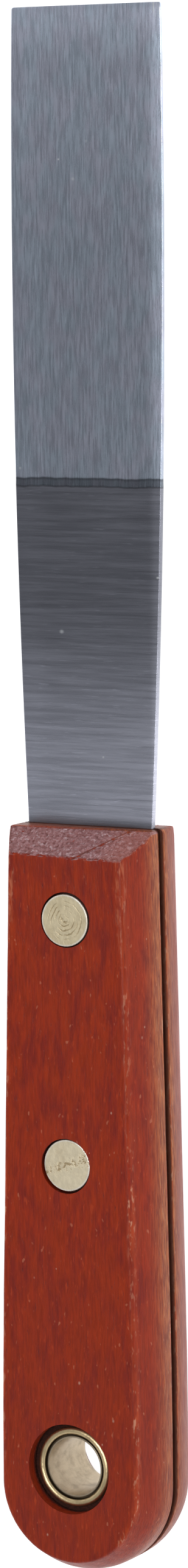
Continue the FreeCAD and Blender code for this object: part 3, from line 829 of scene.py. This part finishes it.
def make_metal(name, hue, tarnish, roughness, marks=None):
    """Dulled sheet metal: fine handling scratches, cloudy tarnish and the marks it was left with.

    marks adds the piece's own marks, painted groove shade and painted rim highlights: it gets the
    wiring and the place, and gives how dark and how bright each spot is, from 0 to 1.
    """
    material, w, shader, place = new_material(name)
    scratch = w.effect(STREAKS, Position=place, Density=(1500, 900, 400), Detail=4, Low=0.3, High=0.7)
    patch = w.effect(STREAKS, Position=place, Density=(420, 420, 420), Detail=4, Low=0.42, High=0.72)
    pit = w.effect(SPECKS, Position=place, Density=(1400, 1400, 1400), Share=0.10, Size=0.2)
    shadow = w.maths("MAXIMUM", w.maths("MULTIPLY", patch, 0.35), w.maths("MULTIPLY", pit, 0.5))
    bright = 0.0
    if marks:
        dark, bright = marks(w, place)
        shadow = w.maths("MAXIMUM", shadow, dark)
    # painted light: bright is a painted rim highlight; dark holds tarnish, marks and painted groove
    # shade
    colour = w.blend(shadow, w.blend(bright, hue, RIM_HIGHLIGHT_PALE), tarnish)
    w.feed(shader.inputs["Base Color"], w.shade(colour, w.ease(scratch, 0.0, 1.0, 0.95, 1.05)))
    w.feed(shader.inputs["Roughness"], w.mix(shadow, roughness, roughness + 0.15))
    relief = w.maths("MULTIPLY_ADD", shadow, -1.0, w.maths("MULTIPLY", scratch, 0.3))
    w.feed(shader.inputs["Normal"], w.bump(relief, TARNISH_RELIEF))
    shader.inputs["Metallic"].default_value = 1.0
    return material


def painted_rim_highlight(w, radius):
    """Rim of a rivet head, lightened as a painted highlight."""
    return w.ease(radius, RIVET_HEAD_RADIUS - 0.35 * MM, RIVET_HEAD_RADIUS - 0.15 * MM, 0.0, 0.8)


def facing_rings(w, place):
    """Uneven rings that a facing tool leaves on a rivet head."""
    offset = w.vector_maths("SUBTRACT", place, tuple(FRONT_RIVET))
    radius = distance_from_axis(w, place, FRONT_RIVET)
    drift = w.effect(STREAKS, Position=offset, Density=(380, 380, 0), Detail=3, Low=0, High=1)
    turns = w.maths("MULTIPLY_ADD", drift, 1.3, w.maths("DIVIDE", radius, RING_SPACING))
    wave = w.ease(w.maths("SINE", w.maths("MULTIPLY", turns, 2 * math.pi)), 0.25, 0.95)
    broken = w.effect(STREAKS, Position=offset, Density=(500, 300, 0), Detail=3, Low=0.42, High=0.62)
    inner = w.ease(radius, 3.3 * MM, 2.6 * MM)
    smudge = w.effect(STREAKS, Position=offset, Density=(1700, 1700, 0), Detail=3, Low=0.5, High=0.6)
    centre = w.maths("MULTIPLY", smudge, w.ease(radius, 1.1 * MM, 0.3 * MM))
    rings = w.maths("MULTIPLY", w.maths("MULTIPLY", wave, broken), inner)
    return w.maths("MAXIMUM", rings, centre), painted_rim_highlight(w, radius)


def groove_shade(w, place):
    """Painted shade in the groove between the eyelet's bead and the rim of its tube."""
    radius = distance_from_axis(w, place, EYELET)
    inside = w.ease(radius, EYELET_TUBE_RADIUS - 0.16 * MM, EYELET_TUBE_RADIUS - 0.08 * MM)
    outside = w.ease(radius, EYELET_LIP_RADIUS + 0.02 * MM, EYELET_LIP_RADIUS + 0.12 * MM, 1.0, 0.0)
    return w.maths("MULTIPLY", inside, outside), 0.0


def hammer_smudge(w, place):
    """A rough diagonal band where the rivet was struck."""
    x, y, _ = w.split(w.vector_maths("SUBTRACT", place, tuple(REAR_RIVET)))
    across = w.maths("MULTIPLY_ADD", x, STRIKE_ACROSS[0], w.maths("MULTIPLY", y, STRIKE_ACROSS[1]))
    wander = w.effect(STREAKS, Position=place, Density=(700, 700, 0), Detail=3, Low=0, High=1)
    across = w.maths("MULTIPLY_ADD", w.maths("SUBTRACT", wander, 0.5), 2.2 * MM, across)
    band = w.ease(w.maths("ABSOLUTE", across), 0.2 * MM, 1.1 * MM, 1.0, 0.0)
    broken = w.effect(STREAKS, Position=place, Density=(1900, 1900, 0), Detail=4, Low=0.45, High=0.6)
    return w.maths("MULTIPLY", band, broken), painted_rim_highlight(w, distance_from_axis(w, place, REAR_RIVET))


def paint(nodes, material):
    """Give CAD nodes their finish."""
    for node in nodes:
        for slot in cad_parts[node].material_slots:
            slot.material = material


# ---------------------------------------------------------------- camera, light and floor

LOOK_AT = Vector((0.46 * MM, HANDLE_FRONT_Y + 6.2 * MM, MID_Z))
VIEW_FROM = Vector((0.4811, 0.1115, 0.8696))
CAMERA_DISTANCE = 0.674
CAMERA_ROLL = math.radians(-0.41)
LENS_MM = 103.54
SENSOR_MM = 36.0
SOFTBOX_PLACE = (0.15, 0.10, 1.30)
SOFTBOX_SIZE = 0.6
SOFTBOX_WATTS = 7.0
FLOOR_SIZE = 20.0
FLOOR_GLOW = 0.97
ROOM_COLOUR = (0.95, 0.97, 1.0, 1)
ROOM_GLOW_LOW = 0.95
ROOM_GLOW_TOP = 0.30


def place_camera():
    """A long lens above the right-hand edge of the knife."""
    camera = bpy.data.cameras.new("camera")
    camera.sensor_fit = "VERTICAL"
    camera.sensor_height = SENSOR_MM
    camera.lens = LENS_MM
    holder = bpy.data.objects.new("camera", camera)
    bpy.context.scene.collection.objects.link(holder)
    back = VIEW_FROM.normalized()
    right = Vector((0, 1, 0)).cross(back).normalized()
    up = back.cross(right)
    turn = Matrix((right, up, back)).transposed() @ Matrix.Rotation(CAMERA_ROLL, 3, "Z")
    holder.matrix_world = Matrix.Translation(LOOK_AT + back * CAMERA_DISTANCE) @ turn.to_4x4()
    bpy.context.scene.camera = holder


def add_softbox(name, place, size, power):
    """A square area light aimed at the knife."""
    light = bpy.data.lights.new(name, "AREA")
    light.shape = "SQUARE"
    light.size = size
    light.energy = power
    holder = bpy.data.objects.new(name, light)
    holder.location = place
    holder.rotation_euler = (Vector(place) - LOOK_AT).to_track_quat("Z", "Y").to_euler()
    bpy.context.scene.collection.objects.link(holder)


def make_floor():
    """A pale, evenly lit table top."""
    bpy.ops.mesh.primitive_plane_add(size=FLOOR_SIZE, location=(0, 0, FLOOR_Z))
    floor = bpy.context.object
    floor.name = "floor"
    material = bpy.data.materials.new("pale_floor")
    material.use_nodes = True
    shader = material.node_tree.nodes["Principled BSDF"]
    shader.inputs["Base Color"].default_value = (0.3, 0.3, 0.3, 1)
    shader.inputs["Roughness"].default_value = 0.9
    shader.inputs["Emission Color"].default_value = (1, 1, 1, 1)
    shader.inputs["Emission Strength"].default_value = FLOOR_GLOW
    floor.data.materials.append(material)


def light_room():
    """Pale surroundings that darken towards the ceiling."""
    world = bpy.data.worlds.new("room")
    bpy.context.scene.world = world
    world.use_nodes = True
    w = Wiring(world.node_tree)
    height = w.split(w.node("ShaderNodeTexCoord").outputs["Generated"])[2]
    back = world.node_tree.nodes["Background"]
    back.inputs["Color"].default_value = ROOM_COLOUR
    w.feed(back.inputs["Strength"], w.ease(height, 0.25, 0.85, ROOM_GLOW_LOW, ROOM_GLOW_TOP))
    bpy.context.scene.view_settings.view_transform = "Standard"


place_camera()
add_softbox("overhead softbox", SOFTBOX_PLACE, SOFTBOX_SIZE, SOFTBOX_WATTS)
make_floor()
light_room()

wood = make_wood()
make_blade(make_steel())
make_scale("front_scale", "front_scale_wood", wood, 4, scored=True)
make_scale("back_scale", "back_scale_wood", wood, 9)
paint(["front_rivet_post", "front_rivet_socket"],
      make_metal("faced_brass", (0.76, 0.65, 0.44, 1), (0.40, 0.31, 0.18, 1), 0.46, facing_rings))
paint(["rear_rivet_post", "rear_rivet_socket"],
      make_metal("hammered_brass", (0.86, 0.75, 0.54, 1), (0.42, 0.32, 0.19, 1), 0.46, hammer_smudge))
# the eyelet's dark tarnish colours also paint the shade in the groove between bead and tube
paint(["eyelet_sleeve"],
      make_metal("rolled_brass", (0.72, 0.56, 0.32, 1), (0.10, 0.07, 0.04, 1), 0.34, groove_shade))
paint(["eyelet_tube"],
      make_metal("nickelled_brass", (0.55, 0.45, 0.32, 1), (0.12, 0.09, 0.06, 1), 0.36, groove_shade))
